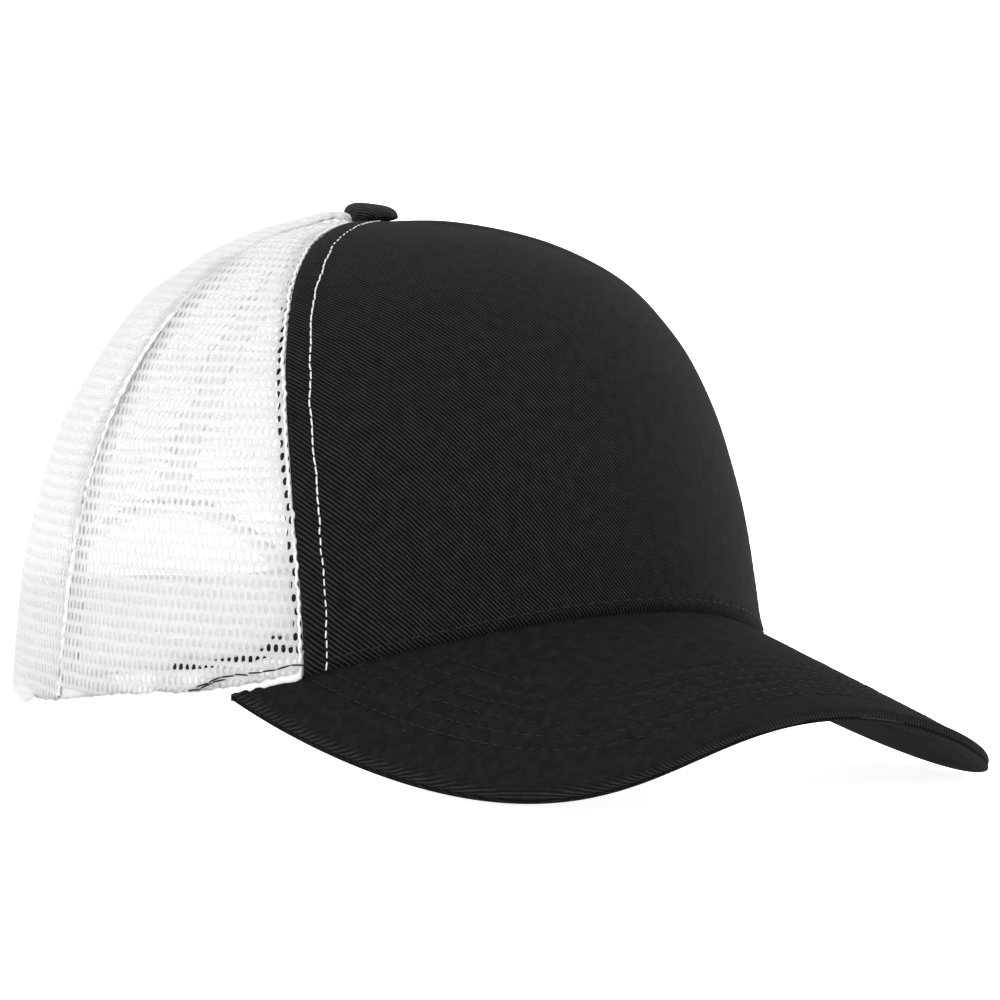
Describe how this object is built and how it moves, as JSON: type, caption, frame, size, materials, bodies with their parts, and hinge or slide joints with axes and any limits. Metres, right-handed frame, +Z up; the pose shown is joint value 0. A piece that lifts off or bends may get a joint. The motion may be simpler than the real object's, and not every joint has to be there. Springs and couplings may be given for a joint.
{
  "type": "trucker mesh cap",
  "caption": "Trucker cap with a stiff twill front, open mesh sides and back, a curved stitched visor, a covered top button and a plastic snap closure.",
  "frame": {"origin": "middle of the footprint on the surface that the cap stands on, under the bounding box's centre", "axes": "+Z up, the visor points to -Y, the wearer's left is +X"},
  "size_m": [0.166, 0.2589, 0.1256],
  "materials": {
    "black_twill": "matt cotton twill",
    "white_mesh": "open polyester net",
    "stiffener": "fused buckram",
    "black_tape": "plain woven tape",
    "white_tape": "plain woven tape",
    "padding": "non-woven padding",
    "sweatband_cotton": "cotton twill",
    "visor_plastic": "moulded sheet",
    "button_metal": "pressed, plain",
    "closure_plastic": "satin moulded"
  },
  "bodies": {
    "cap": {"front_panel": "black_twill", "front_stiffener": "stiffener", "mesh_side_left": "white_mesh", "mesh_side_right": "white_mesh", "mesh_back_left": "white_mesh", "mesh_back_right": "white_mesh", "seam_tape_front_left": "black_tape", "seam_tape_front_right": "black_tape", "seam_tape_side_left": "white_tape", "seam_tape_side_right": "white_tape", "seam_tape_back": "white_tape", "hem_binding_left": "white_tape", "hem_binding_right": "white_tape", "arch_binding": "white_tape", "visor_seam_allowance": "black_twill", "sweatband_padding": "padding", "sweatband": "sweatband_cotton", "visor_board": "visor_plastic", "visor_top_cover": "black_twill", "visor_under_cover": "black_twill", "button_core": "button_metal", "button_cover": "black_twill", "button_tack": "button_metal", "peg_strap_tab": "closure_plastic", "hole_strap_tab": "closure_plastic"},
    "peg_side": {"peg_strap": "closure_plastic"},
    "hole_side": {"hole_strap": "closure_plastic"}
  },
  "joints": [
    {"name": "hole_strap_swing", "type": "hinge", "parent": "cap", "child": "hole_side", "pos_m": [0.03524, 0.11782, 0.0115], "axis": [0, 0, -1], "range_deg": [0, 70]},
    {"name": "peg_strap_swing", "type": "hinge", "parent": "cap", "child": "peg_side", "pos_m": [-0.03429, 0.1163, 0.0115], "axis": [0, 0, -1], "range_deg": [0, 60]}
  ]
}
